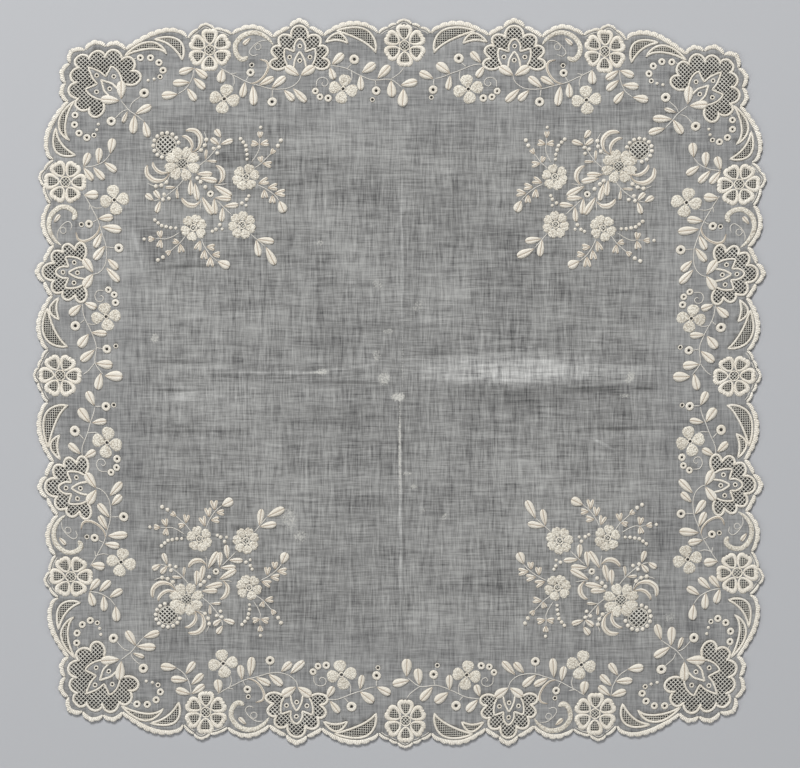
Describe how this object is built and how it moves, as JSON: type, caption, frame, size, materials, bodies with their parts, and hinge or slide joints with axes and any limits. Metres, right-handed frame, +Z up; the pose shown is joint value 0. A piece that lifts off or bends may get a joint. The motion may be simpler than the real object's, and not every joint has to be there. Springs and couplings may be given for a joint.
{
  "type": "handkerchief",
  "caption": "Square sheer cotton handkerchief laid flat, with a scalloped edge, padded whitework flowers and leaves round the border and a spray in each corner of the field",
  "frame": {"origin": "middle of the underside of the cloth as it lies flat on a table", "axes": "+Z up out of the embroidered face, +X to the right and +Y to the top of the cloth as seen from above"},
  "size_m": [0.3822, 0.3806, 0.0019],
  "materials": {
    "cotton": "sheer woven cotton lawn with matt satin-stitch embroidery"
  },
  "bodies": {
    "root": {"handkerchief": "cotton"}
  },
  "joints": []
}
